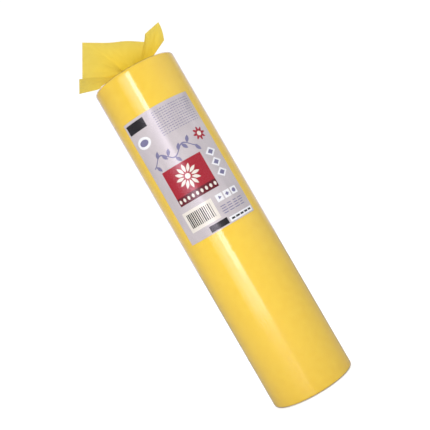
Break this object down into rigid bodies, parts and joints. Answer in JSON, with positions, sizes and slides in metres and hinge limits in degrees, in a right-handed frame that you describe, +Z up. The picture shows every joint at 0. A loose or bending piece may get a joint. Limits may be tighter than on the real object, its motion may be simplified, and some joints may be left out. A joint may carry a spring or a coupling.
{
  "type": "table cover roll",
  "caption": "Upright roll of yellow table-cover cloth wound on a cardboard core, wrapped in clear film over a paper label, with a loose cloth sample tucked into the core's mouth.",
  "frame": {"origin": "on the roll's axis, at the level that the roll stands on", "axes": "+Z up along the roll's axis, towards the end with the sample; the label faces -Y; +X is to the right of someone who faces the label"},
  "size_m": [0.1137, 0.0997, 0.4561],
  "materials": {
    "core_board": "grey-brown spiral-wound board, matt",
    "liner_paper": "plain liner paper, matt",
    "yellow_cloth": "warm yellow non-woven cloth, matt",
    "label_paper": "lavender-grey printed paper, satin",
    "clear_film": "clear glossy shrink film",
    "yellow_sample_cloth": "the same yellow cloth, unwrapped and matt"
  },
  "bodies": {
    "roll": {"core_body": "core_board", "core_liner": "liner_paper", "cloth_web": "yellow_cloth", "paper_label": "label_paper", "film_sleeve": "clear_film"},
    "sample": {"cloth_sample": "yellow_sample_cloth"}
  },
  "joints": [
    {"name": "sample_pull", "type": "slide", "parent": "roll", "child": "sample", "axis": [0, 0, 1], "range_m": [0, 0.08]}
  ]
}
